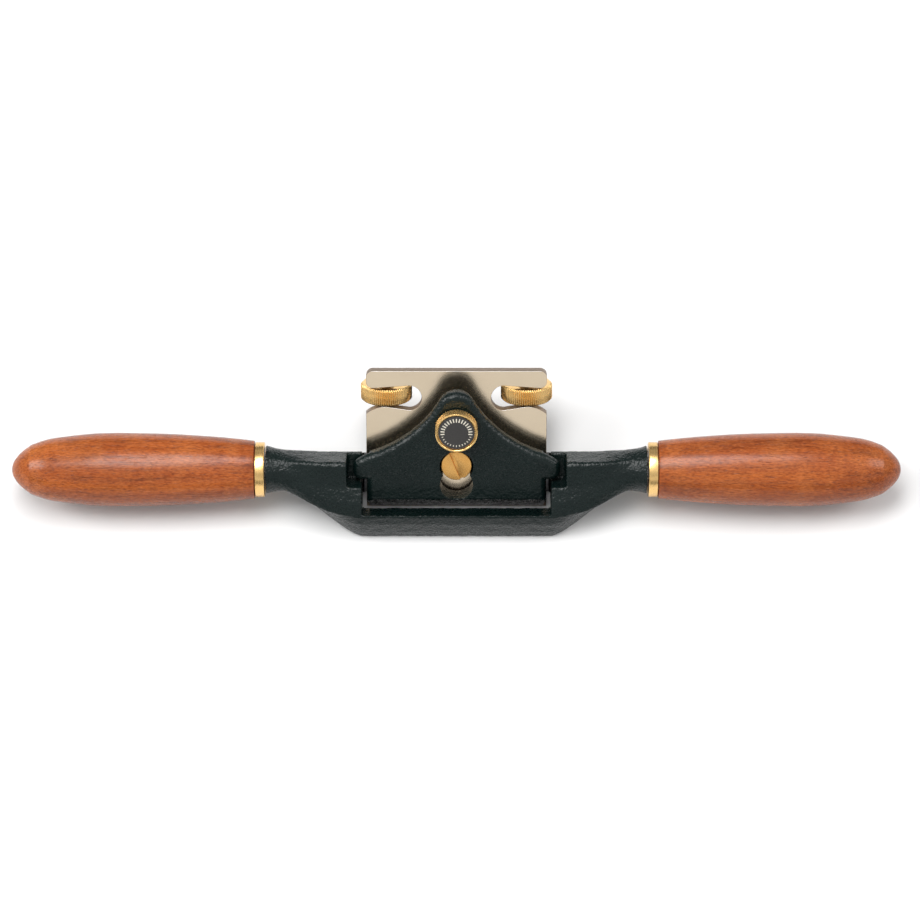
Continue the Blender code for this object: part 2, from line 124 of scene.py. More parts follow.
# Lever cap
NOSE_U = 1.8
NOSE_N = 0.35
CAP_FACE = 6.3
CAP_SKIRT = 1.2
CAP_SKIN = 3.5
CAP_HALF = 26.8
NOSE_FACE = 4.6
EAR_X = 31.0
EAR_LOW = 10.8
EAR_HIGH = 16.6
SHOULDER = Vector((26.6, 19.1))
FLANK_RADIUS = 37.0
LOBE_CENTRE = 33.9
LOBE_RADIUS = 6.0
CAP_ROUND = 1.9
CAP_WALL = 2.2
CAP_VOXEL = 0.24
CAP_LUMPS = [(2.4, 0.07), (1.1, 0.035)]
EAR_LOW_ROUND = 2.6
EAR_HIGH_ROUND = 3.6
BOSS_HALF = 7.2
BOSS_ROUND = 6.0
BOSS_LOW = 0.6
KNOB_BOSS_RADIUS = 5.0
KEY_HOLE = 9.5
KEY_SEAT = 15.7
KEY_RADIUS = 5.0
KEY_FLOOR = 2.5
KEY_SLOT_HALF = 2.8

# Cap screw
SCREW_U = 16.9
SCREW_HEAD_RADIUS = 4.6
SCREW_FACE = 8.4
SCREW_HEAD_THICK = 3.0
SCREW_SHANK_RADIUS = 2.4
SCREW_END = -9.5
SCREW_SLOT_WIDTH = 1.1
SCREW_SLOT_DEPTH = 1.3
SCREW_SLOT_TURN = math.radians(-68.0)

# Thumbscrew
KNOB_A = 29.2
KNOB_RADIUS = 6.35
KNOB_BASE = 7.0
KNOB_FACE = 10.5
BADGE_RADIUS = 5.4
BADGE_DEPTH = 0.75
STEM_RADIUS = 2.4
STEM_TOP = 8.8
KNURL_COUNT = 26
KNURL_PITCH = 0.78
KNURL_DEPTH = 0.16
TICKS = 30
LONG_TICK = (3.55, 4.75, 0.17)
SHORT_TICK = (4.1, 4.6, 0.12)

# Adjusters
NUT_X = 21.0
NUT_U = 35.4
NUT_N = -6.8
NUT_RADIUS = 7.7
NUT_THICK = 5.0
NUT_TEETH = 72
NUT_TOOTH_DEPTH = 0.34
STUD_RADIUS = 2.4
STUD_START = 10.0
STUD_END = 41.5
THREAD_PITCH = 0.8

# Handles
FERRULE_START = 57.3
FERRULE_END = 60.1
FERRULE_RADIUS = 8.2
TENON_RADIUS = 6.6
HANDLE_SHAPE = [
    (60.3, 8.0),
    (60.45, 8.45),
    (61.0, 8.72),
    (66.7, 9.35),
    (74.0, 9.98),
    (85.0, 10.65),
    (97.0, 10.95),
    (103.0, 10.98),
    (108.5, 10.78),
    (113.5, 10.3),
    (120.6, 9.4),
    (124.2, 8.5),
    (127.2, 7.4),
]
HANDLE_TIP = 133.0

GAP = 0.3
EDGE_ROUND = 0.10
# A slot's end rounds stay a little under half its width, so that neighbours don't meet
END_SHARE = 0.98
ALONG_U = Matrix.Rotation(math.radians(-90.0), 4, "X")
BLADE_FRAME = Matrix.Translation((0, EDGE_Y, EDGE_HEIGHT)) @ Matrix.Rotation(BED_ANGLE, 4, "X")
CAP_FRAME = BLADE_FRAME @ Matrix.Translation((0, NOSE_U, NOSE_N)) @ Matrix.Rotation(CAP_TILT, 4, "X")
SCREW_FRAME = BLADE_FRAME @ Matrix.Translation((0, SCREW_U, 0))
KNOB_FRAME = CAP_FRAME @ Matrix.Translation((0, KNOB_A, 0))
WORLD = Matrix.Identity(4)


def nut_frame(side):
    return BLADE_FRAME @ Matrix.Translation((side * NUT_X, NUT_U, NUT_N)) @ ALONG_U


def handle_frame(side):
    turn = Matrix.Rotation(math.radians(90.0 * side), 4, "Y")
    return Matrix.Translation((0, EDGE_Y - HANDLE_AXIS.x, HANDLE_AXIS.y)) @ turn


# Outlines

def arc(centre, radius, start, end, steps):
    """Points round a centre, between two angles in radians."""
    turns = [start + (end - start) * step / steps for step in range(steps + 1)]
    return [centre + radius * Vector((math.cos(turn), math.sin(turn))) for turn in turns]


def fillet(before, corner, after, radius, steps=8):
    """The points of a round of this radius in place of a corner."""
    back = (before - corner).normalized()
    on = (after - corner).normalized()
    half = back.angle(on) / 2
    centre = corner + (back + on).normalized() * radius / math.sin(half)
    reach = radius / math.tan(half)
    first = (corner + back * reach - centre).normalized()
    last = (corner + on * reach - centre).normalized()
    return [centre + radius * first.slerp(last, step / steps) for step in range(steps + 1)]


def rounded(corners, steps=8):
    """A closed outline with a round at each (corner, radius)."""
    points = [Vector(corner) for corner, _ in corners]
    outline = []
    for index, (_, radius) in enumerate(corners):
        after = points[(index + 1) % len(points)]
        outline += fillet(points[index - 1], points[index], after, radius, steps)
    return outline


def softened(corners, steps=5):
    """An open line through (place, radius), with a round at each corner whose radius isn't 0."""
    line = []
    for index, (place, radius) in enumerate(corners):
        corner = Vector(place)
        if radius:
            before = Vector(corners[index - 1][0])
            after = Vector(corners[index + 1][0])
            line += fillet(before, corner, after, radius, steps)
        else:
            line.append(corner)
    return line


def rectangle(left, right, low, high, low_round, high_round, steps=8):
    """A closed rectangle with one radius for its lower corners and one for its upper corners."""
    return rounded([
        ((left, low), low_round),
        ((right, low), low_round),
        ((right, high), high_round),
        ((left, high), high_round),
    ], steps)


def mirrored(half):
    """A closed outline from its right half, which runs from the bottom to the top."""
    return half + [Vector((-point.x, point.y)) for point in reversed(half) if point.x > 1e-6]


def spread(outline, longest):
    """A closed outline with more points along its long sides."""
    points = []
    for index, point in enumerate(outline):
        after = outline[(index + 1) % len(outline)]
        count = max(1, math.ceil((after - point).length / longest))
        points += [point.lerp(after, step / count) for step in range(count)]
    return points


def inset(outline, distance):
    """An anticlockwise outline moved inwards by a distance."""
    moved = []
    for index, point in enumerate(outline):
        back = (point - outline[index - 1]).normalized()
        on = (outline[(index + 1) % len(outline)] - point).normalized()
        inward = Vector((-back.y - on.y, back.x + on.x)).normalized()
        moved.append(point + inward * distance / max(inward.dot(Vector((-back.y, back.x))), 0.5))
    return moved


def circle(radius, centre=(0.0, 0.0), steps=96):
    return arc(Vector(centre), radius, 0.0, 2 * math.pi, steps)[:-1]


def through(points, steps):
    """A smooth line through points, with this many steps between neighbours."""
    ends = [2 * points[0] - points[1], *points, 2 * points[-1] - points[-2]]
    line = []
    for first, low, high, last in zip(ends, ends[1:], ends[2:], ends[3:]):
        for step in range(steps):
            share = step / steps
            line.append(
                0.5 * (2 * low + (high - first) * share
                       + (2 * first - 5 * low + 4 * high - last) * share**2
                       + (3 * low - first - 3 * high + last) * share**3)
            )
    return line + [points[-1]]


# Meshes

def skin(rings, hollow=False):
    """A closed mesh through rings of equally many points. A ring of one point is a tip."""
    mesh = bmesh.new()
    rows = [[mesh.verts.new(point) for point in ring] for ring in rings]
    pairs = list(zip(rows, rows[1:]))
    if hollow:
        pairs.append((rows[-1], rows[0]))
    for low, high in pairs:
        for index in range(max(len(low), len(high))):
            around = [low[index % len(low)], low[(index + 1) % len(low)]]
            around += [high[(index + 1) % len(high)], high[index % len(high)]]
            mesh.faces.new(list(dict.fromkeys(around)))
    if not hollow:
        for row in (rows[0], rows[-1]):
            if len(row) > 1:
                mesh.faces.new(row)
    bmesh.ops.recalc_face_normals(mesh, faces=mesh.faces)
    return mesh


def prism(outline, low, high):
    """An outline in local X and Y, raised along local Z."""
    return skin([[Vector((p.x, p.y, level)) for p in outline] for level in (low, high)])


def bar(outline, half):
    """An outline in local Y and Z, drawn along X to both sides."""
    return skin([[Vector((x, p[0], p[1])) for p in outline] for x in (-half, half)])


def turned(profile, steps=96, hollow=False, relief=None):
    """A shape turned about local Z from (radius, height) points, less relief(turn, radius, height)."""
    rings = []
    for radius, height in profile:
        if radius < 1e-6:
            rings.append([Vector((0.0, 0.0, height))])
            continue
        ring = []
        for step in range(steps):
            turn = 2 * math.pi * step / steps
            reach = radius - (relief(turn, radius, height) if relief else 0.0)
            ring.append(Vector((reach * math.cos(turn), reach * math.sin(turn), height)))
        rings.append(ring)
    return skin(rings, hollow)


def store(name, mesh, place):
    """An object from a mesh in millimetres in a frame, with its points in metres in the row frame."""
    mesh.transform(Matrix.Scale(MM, 4) @ place)
    if mesh.calc_volume(signed=True) < 0:
        bmesh.ops.reverse_faces(mesh, faces=mesh.faces)
    data = bpy.data.meshes.new(name)
    mesh.to_mesh(data)
    mesh.free()
    obj = bpy.data.objects.new(name, data)
    bpy.context.scene.collection.objects.link(obj)
    return obj


def boolean(obj, operation, mesh, place):
    helper = store("helper", mesh, place)
    step = obj.modifiers.new(operation, "BOOLEAN")
    step.operation = operation
    step.solver = "EXACT"
    step.object = helper


def cut(obj, mesh, place=WORLD):
    boolean(obj, "DIFFERENCE", mesh, place)


def join(obj, mesh, place=WORLD):
    boolean(obj, "UNION", mesh, place)


def settle(obj):
    """Applies an object's modifiers and removes the helpers they used."""
    helpers = [step.object for step in obj.modifiers if step.type == "BOOLEAN"]
    bpy.context.view_layer.update()
    made = bpy.data.meshes.new_from_object(obj.evaluated_get(bpy.context.evaluated_depsgraph_get()))
    obj.modifiers.clear()
    obj.data = made
    made.name = obj.name
    for helper in helpers:
        bpy.data.objects.remove(helper)


def recast(obj, voxel, passes):
    """Rebuilds an object as even small faces and rounds its edges, as a casting has them."""
    even = obj.modifiers.new("even", "REMESH")
    even.mode = "VOXEL"
    even.voxel_size = voxel * MM
    even.adaptivity = 0.0
    round_off = obj.modifiers.new("round_off", "SMOOTH")
    round_off.factor = 0.5
    round_off.iterations = passes
    settle(obj)


def round_edges(obj, segments):
    edges = obj.modifiers.new("edges", "BEVEL")
    edges.width = EDGE_ROUND * MM
    edges.segments = segments
    edges.limit_method = "ANGLE"
    edges.angle_limit = math.radians(50)


def points_of(data):
    places = np.zeros(len(data.vertices) * 3, np.float32)
    data.vertices.foreach_get("co", places)
    normals = np.zeros(len(data.vertices) * 3, np.float32)
    data.vertices.foreach_get("normal", normals)
    return places.reshape(-1, 3), normals.reshape(-1, 3)


def roughen(obj, layers, bare):
    """Moves a casting's skin in and out by layers of (size, depth) in mm, but not where bare(places) is 1."""
    places, normals = points_of(obj.data)
    rise = np.zeros(len(places), np.float32)
    for size, depth in layers:
        scaled = places / (size * MM)
        rise += depth * MM * np.array([noise.noise(Vector(place)) for place in scaled], np.float32)
    rise *= 1.0 - bare(places / MM)
    obj.data.vertices.foreach_set("co", (places + normals * rise[:, None]).ravel())
    obj.data.update()


def finish_piece(obj, body, material, nodes=()):
    """Shades a piece, hangs it on the body it rides on, and hides the CAD parts it stands for."""
    obj.data.materials.clear()
    obj.data.materials.append(material)
    obj.data.shade_smooth()
    obj.data.set_sharp_from_angle(angle=math.radians(38))
    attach(obj, body)
    if nodes:
        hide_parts(*nodes)
    return obj


# Materials

class Nodes:
    """Short calls for building one material's nodes."""

    def __init__(self, name):
        self.material = bpy.data.materials.new(name)
        self.material.use_nodes = True
        self.tree = self.material.node_tree
        self.shader = self.tree.nodes["Principled BSDF"]
        self.place = self.tree.nodes.new("ShaderNodeTexCoord").outputs["Object"]

    def link(self, value, socket):
        if isinstance(value, bpy.types.NodeSocket):
            self.tree.links.new(value, socket)
        else:
            socket.default_value = value

    def add(self, kind, inputs, **settings):
        node = self.tree.nodes.new(kind)
        for key, value in settings.items():
            setattr(node, key, value)
        for key, value in inputs.items():
            self.link(value, node.inputs[key])
        return node.outputs[0]

    def stretched(self, scale):
        """The place in the row frame, in units of 1 / scale metres along each axis."""
        return self.add("ShaderNodeMapping", {"Vector": self.place, "Scale": scale})

    def noise(self, size, detail=2.0, roughness=0.5, vector=None, distortion=0.0):
        """Noise whose lumps are about this many millimetres across."""
        return self.add("ShaderNodeTexNoise", {
            "Vector": vector or self.place,
            "Scale": 1.0 if vector else 1.0 / (size * MM),
            "Detail": detail,
            "Roughness": roughness,
            "Distortion": distortion,
        })

    def ramp(self, factor, stops):
        """A colour ramp from (place, colour) stops."""
        node = self.tree.nodes.new("ShaderNodeValToRGB")
        elements = node.color_ramp.elements
        while len(elements) < len(stops):
            elements.new(0.5)
        for element, (at, color) in zip(elements, stops):
            element.position = at
            element.color = (*color, 1.0)
        self.tree.links.new(factor, node.inputs["Fac"])
        return node.outputs["Color"]

    def span(self, value, low, high, to_low, to_high):
        return self.add("ShaderNodeMapRange", {
            "Value": value, "From Min": low, "From Max": high, "To Min": to_low, "To Max": to_high,
        })

    def math(self, operation, first, second):
        return self.add("ShaderNodeMath", {0: first, 1: second}, operation=operation)

    def mix(self, factor, first, second, blend="MIX"):
        node = self.tree.nodes.new("ShaderNodeMix")
        node.data_type = "RGBA"
        node.blend_type = blend
        self.link(factor, node.inputs["Factor"])
        self.link(first, node.inputs[6])
        self.link(second, node.inputs[7])
        return node.outputs[2]

    def bump(self, height, distance, strength=1.0, normal=None):
        inputs = {"Height": height, "Distance": distance * MM, "Strength": strength}
        if normal is not None:
            inputs["Normal"] = normal
        return self.add("ShaderNodeBump", inputs)

    def set(self, **values):
        for key, value in values.items():
            self.link(value, self.shader.inputs[key.replace("_", " ")])
        return self.material


def make_paint(name, lump_depth):
    """Black paint with a green cast, glossy over the lumpy skin of a casting."""
    made = Nodes(name)
    lumps = made.noise(0.75, 1.5, 0.55)
    grains = made.noise(0.34, 1.0, 0.5)
    broad = made.noise(6.0, 2.0)
    color = made.ramp(broad, [(0.3, (0.0018, 0.0060, 0.0056)), (0.7, (0.0032, 0.0084, 0.0078))])
    peel = made.bump(lumps, lump_depth)
    fine = made.bump(grains, 0.02, 1.0, peel)
    return made.set(
        Base_Color=color,
        Roughness=made.span(lumps, 0.35, 0.65, 0.22, 0.32),
        Specular_IOR_Level=0.29,
        Normal=fine,
    )


def make_steel():
    """Ground tool steel with a satin face."""
    made = Nodes("satin_steel")
    lines = made.noise(1.0, 3.0, 0.6, made.stretched((120.0, 9000.0, 9000.0)))
    grain = made.noise(0.25, 2.0, 0.6)
    cloud = made.noise(9.0, 2.0)
    color = made.ramp(cloud, [(0.3, (0.74, 0.615, 0.455)), (0.7, (0.775, 0.65, 0.485))])
    mottle = made.ramp(grain, [(0.35, (0.68, 0.56, 0.41)), (0.65, (0.84, 0.71, 0.53))])
    shade = made.mix(0.25, color, mottle)
    scratch = made.bump(lines, 0.006, 0.6)
    return made.set(
        Base_Color=shade,
        Metallic=1.0,
        Roughness=made.span(grain, 0.3, 0.7, 0.18, 0.25),
        Normal=made.bump(grain, 0.006, 0.5, scratch),
    )


def make_honed_highlight():
    """The narrow honed strip behind the cutting edge, near white and only a little metallic: a painted
    highlight that keeps it bright in the cap's shade.
    """
    made = Nodes("honed_painted_highlight")
    lines = made.noise(1.0, 2.0, 0.6, made.stretched((9000.0, 300.0, 300.0)))
    return made.set(
        Base_Color=made.ramp(lines, [(0.3, (0.90, 0.92, 0.91)), (0.7, (0.96, 0.97, 0.96))]),
        Metallic=0.25,
        Roughness=made.span(lines, 0.3, 0.7, 0.20, 0.30),
        Normal=made.bump(lines, 0.004, 0.5),
    )


def make_painted_edge_shade():
    """The blade's narrow sides and bevels, dark brown as painted shade and painted reflection for how dark
    and warm they look at a grazing angle, and left rough.
    """
    made = Nodes("blade_edge_painted_shade")
    grain = made.noise(0.5, 3.0)
    return made.set(
        Base_Color=made.ramp(grain, [(0.3, (0.20, 0.155, 0.12)), (0.7, (0.29, 0.225, 0.17))]),
        Metallic=0.7,
        Roughness=0.5,
        Normal=made.bump(grain, 0.01, 0.6),
    )


def make_ground_iron():
    """Bare ground iron on the sole and the bed."""
    made = Nodes("ground_iron")
    lines = made.noise(1.0, 3.0, 0.6, made.stretched((900.0, 7000.0, 7000.0)))
    color = made.ramp(lines, [(0.35, (0.33, 0.33, 0.34)), (0.65, (0.47, 0.47, 0.48))])
    return made.set(
        Base_Color=color,
        Metallic=1.0,
        Roughness=made.span(lines, 0.3, 0.7, 0.30, 0.46),
        Normal=made.bump(lines, 0.01, 0.6),
    )


def make_stud_steel():
    """Zinc-plated steel of the studs."""
    made = Nodes("stud_steel")
    grain = made.noise(0.4, 2.0)
    return made.set(
        Base_Color=made.ramp(grain, [(0.3, (0.50, 0.50, 0.51)), (0.7, (0.62, 0.62, 0.62))]),
        Metallic=1.0,
        Roughness=made.span(grain, 0.3, 0.7, 0.28, 0.42),
        Normal=made.bump(grain, 0.006, 0.5),
    )


def make_brass(name, lines_scale, light, deep, tarnish=0.25):
    """Turned brass with fine machining lines."""
    made = Nodes(name)
    lines = made.noise(1.0, 2.0, 0.6, made.stretched(lines_scale))
    cloud = made.noise(2.6, 2.0, 0.55)
    clean = made.ramp(cloud, [(0.3, deep), (0.7, light)])
    aged = made.mix(made.span(cloud, 0.45, 0.75, 0.0, tarnish), clean, (0.60, 0.37, 0.13, 1.0))
    return made.set(
        Base_Color=aged,
        Metallic=1.0,
        Roughness=made.span(lines, 0.3, 0.7, 0.22, 0.32),
        Normal=made.bump(lines, 0.003, 0.6),
    )


def make_badge_black():
    made = Nodes("badge_black")
    grain = made.noise(0.3, 2.0)
    return made.set(
        Base_Color=made.ramp(grain, [(0.3, (0.020, 0.019, 0.018)), (0.7, (0.030, 0.028, 0.027))]),
        Roughness=made.span(grain, 0.3, 0.7, 0.42, 0.55),
        Normal=made.bump(grain, 0.01, 0.5),
    )


def make_badge_mark():
    made = Nodes("badge_mark")
    grain = made.noise(0.3, 2.0)
    return made.set(
        Base_Color=made.ramp(grain, [(0.3, (0.52, 0.49, 0.40)), (0.7, (0.66, 0.62, 0.52))]),
        Roughness=made.span(grain, 0.3, 0.7, 0.45, 0.6),
    )


def make_wood():
    """Oiled red-brown hardwood, its grain along the handle, with dark streaks and short open pores."""
    made = Nodes("handle_wood")
    bands = made.noise(1.0, 3.0, 0.6, made.stretched((10.0, 150.0, 190.0)), 0.35)
    streaks = made.noise(1.0, 4.0, 0.65, made.stretched((24.0, 620.0, 560.0)), 0.25)
    fibres = made.noise(1.0, 3.0, 0.6, made.stretched((220.0, 4200.0, 4200.0)))
    pores = made.noise(1.0, 1.0, 0.5, made.stretched((330.0, 3300.0, 3300.0)))
    figure = made.noise(1.0, 2.0, 0.5, made.stretched((130.0, 90.0, 90.0)))
    color = made.ramp(bands, [
        (0.28, (0.165, 0.031, 0.0055)),
        (0.46, (0.240, 0.048, 0.0082)),
        (0.60, (0.295, 0.066, 0.0115)),
        (0.76, (0.355, 0.096, 0.0190)),
    ])
    dark = made.mix(made.span(streaks, 0.50, 0.68, 0.0, 0.8), color, (0.090, 0.015, 0.004, 1.0))
    fibre = made.mix(made.span(fibres, 0.35, 0.70, 0.0, 0.35), dark, (0.43, 0.135, 0.036, 1.0))
    glow = made.mix(made.span(figure, 0.45, 0.70, 0.0, 0.25), fibre, (0.46, 0.15, 0.040, 1.0))
    specks = made.noise(1.0, 2.0, 0.6, made.stretched((800.0, 2600.0, 2600.0)))
    mottle = made.ramp(specks, [
        (0.32, (0.66, 0.60, 0.55)),
        (0.5, (1.0, 1.0, 1.0)),
        (0.68, (1.28, 1.34, 1.40)),
    ])
    speckled = made.mix(1.0, glow, mottle, "MULTIPLY")
    hole = made.span(pores, 0.66, 0.72, 0.0, 1.0)
    pored = made.mix(made.math("MULTIPLY", hole, 0.7), speckled, (0.09, 0.020, 0.010, 1.0))
    grain = made.bump(fibres, 0.02, 0.5)
    return made.set(
        Base_Color=pored,
        Roughness=made.span(fibres, 0.3, 0.7, 0.23, 0.29),
        Specular_IOR_Level=0.30,
        Normal=made.bump(made.math("SUBTRACT", 1.0, hole), 0.05, 0.6, grain),
    )


def make_floor():
    made = Nodes("floor")
    grain = made.noise(40.0, 2.0)
    return made.set(
        Base_Color=made.ramp(grain, [(0.3, (0.69, 0.69, 0.69)), (0.7, (0.71, 0.71, 0.71))]),
        Roughness=0.9,
        Specular_IOR_Level=0.1,
    )


# Body

def block_outline():
    """Side-view points of the block, each with how long an arm keeps it."""
    corners = []
    for index, (corner, radius, keep) in enumerate(BLOCK_CORNERS):
        before = BLOCK_CORNERS[index - 1][0]
        after = BLOCK_CORNERS[(index + 1) % len(BLOCK_CORNERS)][0]
        corners += [(point, keep) for point in fillet(before, corner, after, radius, 5)]
    outline = []
    for index, (point, keep) in enumerate(corners):
        after, after_keep = corners[(index + 1) % len(corners)]
        pieces = math.ceil((after - point).length / 1.2)
        for step in range(pieces):
            share = step / pieces
            outline.append((point.lerp(after, share), keep + (after_keep - keep) * share))
    return outline


def ease(share):
    share = min(max(share, 0.0), 1.0)
    return share * share * (3 - 2 * share)


def neck_radius(x):
    flare = max(x - WAIST_X, 0.0) / (NECK_END - WAIST_X)
    return WAIST_RADIUS + (NECK_RADIUS - WAIST_RADIUS) * flare**2


def body_ring(x, outline):
    """The casting's section at x, between the block's and the neck's round one."""
    away = abs(x)
    sweep = min(max((away - BLOCK_HALF) / (SWEEP_END - BLOCK_HALF), 0.0), 1.0)
    low = 0.55 * sweep + 0.45 * ease(sweep)
    high = ease((away - TOP_HOLD) / (NECK_END - TOP_HOLD))
    ring = []
    for point, keep in outline:
        neck = HANDLE_AXIS + (point - BLOCK_CENTRE).normalized() * neck_radius(away)
        place = point.lerp(neck, (1 - keep) * low + keep * high)
        ring.append(Vector((x, EDGE_Y - place.x, place.y)))
    return ring


def bed_point(forward):
    """World Y and Z on the bed's plane at this distance forward."""
    return EDGE_Y - forward, BED_N / math.cos(BED_ANGLE) + EDGE_HEIGHT - forward * math.tan(BED_ANGLE)


def side_point(point):
    return EDGE_Y - point[0], point[1]


def bare_metal(places):
    """1 on the sole and the bed, where the casting is ground, and 0 away from them; along the bed's middle,
    behind the cap slot, it stays 0, so that strip keeps black paint as painted shade seen through the slot.
    """
    along = places[:, 1] - EDGE_Y
    up = places[:, 2] - EDGE_HEIGHT
    stand = up * math.cos(BED_ANGLE) - along * math.sin(BED_ANGLE)
    sole = np.clip(1.0 - places[:, 2] / 0.6, 0.0, 1.0)
    across = np.abs(places[:, 0])
    # The bed's middle strip behind the cap slot stays black paint: painted shade seen through the slot
    beside_painted_shade_strip = (across < CHANNEL_HALF) & (across > CAP_SLOT_HALF + 1)
    bed = np.clip(1.0 - np.abs(stand - BED_N) / 0.4, 0.0, 1.0) * beside_painted_shade_strip
    return np.maximum(sole, bed)


def make_body(paint, iron):
    outline = block_outline()
    reach = NECK_END - BLOCK_HALF
    arm = [BLOCK_HALF + reach * step / 40 for step in range(41)]
    stations = [-x for x in reversed(arm)] + arm
    body = store("casting", skin([body_ring(x, outline) for x in stations]), WORLD)

    frog = rounded([
        ((-FROG_HALF, FROG_START), 1.0),
        ((FROG_HALF, FROG_START), 1.0),
        ((FROG_HALF, FROG_TOP), 3.0),
        ((TONGUE_HALF, FROG_TOP), 4.0),
        ((TONGUE_HALF, TONGUE_TOP), 2.5),
        ((-TONGUE_HALF, TONGUE_TOP), 2.5),
        ((-TONGUE_HALF, FROG_TOP), 4.0),
        ((-FROG_HALF, FROG_TOP), 3.0),
    ])
    join(body, prism(frog, FROG_BACK, BED_N + 1), BLADE_FRAME)

    channel = [
        side_point((MOUTH_REAR, -2.0)),
        side_point((MOUTH_FRONT, -2.0)),
        side_point((MOUTH_FRONT, THROAT_LOW)),
        side_point(THROAT_TOP),
        side_point((THROAT_TOP.x, ABOVE)),
        bed_point(-ABOVE),
        bed_point(MOUTH_REAR),
    ]
    cut(body, bar(channel, CHANNEL_HALF))
    for side in (-1, 1):
        low_x, high_x = sorted((side * (CHANNEL_HALF - 1), side * EAR_NOTCH_HALF))
        notch = rectangle(low_x, high_x, EAR_NOTCH_U, ABOVE, 0.4, 0.4)
        cut(body, prism(notch, EAR_NOTCH_N, ABOVE), BLADE_FRAME)
        cut(body, prism(circle(STUD_RADIUS + GAP), STUD_START - NUT_U - GAP, 0.0), nut_frame(side))
    cut(body, prism(circle(SCREW_SHANK_RADIUS + GAP), SCREW_END - GAP, 0.0), SCREW_FRAME)
    settle(body)
    recast(body, BODY_VOXEL, 3)
    roughen(body, BODY_LUMPS, bare_metal)

    finish_piece(body, "frame", paint, ["body"])
    body.data.materials.append(iron)
    data = body.data
    centres = np.zeros(len(data.polygons) * 3, np.float32)
    data.polygons.foreach_get("center", centres)
    normals = np.zeros(len(data.polygons) * 3, np.float32)
    data.polygons.foreach_get("normal", normals)
    centres = centres.reshape(-1, 3) / MM
    normals = normals.reshape(-1, 3)
    out_of_bed = normals[:, 2] * math.cos(BED_ANGLE) - normals[:, 1] * math.sin(BED_ANGLE)
    flat = (bare_metal(centres) > 0.3) & ((normals[:, 2] < -0.9) | (out_of_bed > 0.93))
    data.polygons.foreach_set("material_index", flat.astype(np.int32))


# Blade

def blade_half():
    """The right half of the blade's outline. Its side slot opens at the edge, between a lip and a tab."""
    lip_centre = Vector((LIP_X, LIP_U - LIP_RADIUS))
    side_turn = math.acos((BLADE_HALF - LIP_X) / LIP_RADIUS)
    lip = arc(lip_centre, LIP_RADIUS, side_turn, math.radians(90.0), 16)
    slot_end = arc(Vector((SLOT_X, SLOT_U)), SLOT_RADIUS, math.radians(270.0), math.radians(90.0), 32)
    above = Vector((BLADE_HALF, SLOT_U + 9))
    tab_low = fillet(Vector((LIP_X, TAB_U)), Vector((BLADE_HALF, TAB_U)), above, TAB_CORNER)
    corner = Vector((BLADE_HALF, BLADE_LENGTH))
    tab_high = fillet(Vector((BLADE_HALF, TAB_U)), corner, Vector((0.0, BLADE_LENGTH)), BLADE_CORNER)
    return [Vector((BLADE_HALF, 0.0))] + lip + slot_end + tab_low + tab_high


def make_blade(steel, edge, honed):
    blade = store("blade_steel", prism(mirrored(blade_half()), -BLADE_THICK, 0.0), BLADE_FRAME)
    run = (BLADE_THICK + 1) / math.tan(BEVEL_ANGLE)
    bevel = [(-1.0, math.tan(BEVEL_ANGLE)), (-1.0, -BLADE_THICK - 1), (run, -BLADE_THICK - 1)]
    cut(blade, bar(bevel, BLADE_HALF + 1), BLADE_FRAME)
    drop = (HONE_U + 1) * math.tan(HONE_ANGLE)
    hone_wedge = [(HONE_U, 0.0), (HONE_U, 2.0), (-1.0, 2.0), (-1.0, -drop)]
    cut(blade, bar(hone_wedge, BLADE_HALF + 1), BLADE_FRAME)
    end_round = CAP_SLOT_HALF * END_SHARE
    slot = rectangle(-CAP_SLOT_HALF, CAP_SLOT_HALF, *CAP_SLOT, end_round, end_round, 14)
    cut(blade, prism(slot, -BLADE_THICK - 1, 1.0), BLADE_FRAME)
    round_edges(blade, 3)
    settle(blade)
    finish_piece(blade, "blade", steel, ["blade"])
    # The second material puts the dark brown painted shade on the narrow sides and bevels
    blade.data.materials.append(edge)
    # The third material is the honed strip's near-white painted highlight
    blade.data.materials.append(honed)
    face = Vector((0.0, -math.sin(BED_ANGLE), math.cos(BED_ANGLE)))
    hone = Matrix.Rotation(-HONE_ANGLE, 3, "X") @ face
    for polygon in blade.data.polygons:
        polygon.use_smooth = abs(polygon.normal.dot(face)) < 0.999
        # The honed facet takes the painted highlight
        if polygon.normal.dot(hone) > 0.998:
            polygon.material_index = 2
        # Every face but the two broad ones, bevels included, takes that painted shade
        elif abs(polygon.normal.dot(face)) < 0.999:
            polygon.material_index = 1


# Lever cap

def flank():
    """The concave side of the bell and half of the round lobe above it, which meet along one tangent."""
    lobe = Vector((0.0, LOBE_CENTRE))
    across = lobe - SHOULDER
    apart = across.length
    far = FLANK_RADIUS + LOBE_RADIUS
    along = (FLANK_RADIUS**2 - far**2 + apart**2) / (2 * apart)
    off = math.sqrt(FLANK_RADIUS**2 - along**2)
    onward = across.normalized()
    centre = SHOULDER + onward * along + Vector((onward.y, -onward.x)) * off
    start = math.atan2(SHOULDER.y - centre.y, SHOULDER.x - centre.x)
    end = math.atan2(lobe.y - centre.y, lobe.x - centre.x)
    side = arc(centre, FLANK_RADIUS, start, end, 40)
    return side + arc(lobe, LOBE_RADIUS, end + math.pi, math.radians(90.0), 20)[1:]


def cap_outline(ears):
    nose = Vector((CAP_HALF, 0.0))
    half = [nose]
    if ears:
        inner = Vector((CAP_HALF, EAR_LOW))
        low = Vector((EAR_X, EAR_LOW))
        high = Vector((EAR_X, EAR_HIGH))
        half += [inner] + fillet(inner, low, high, EAR_LOW_ROUND)
        half += fillet(low, high, SHOULDER, EAR_HIGH_ROUND)
    return mirrored(half + flank())


def level(outline, height):
    return [Vector((point.x, point.y, height)) for point in outline]


def not_bare(places):
    return np.zeros(len(places), np.float32)


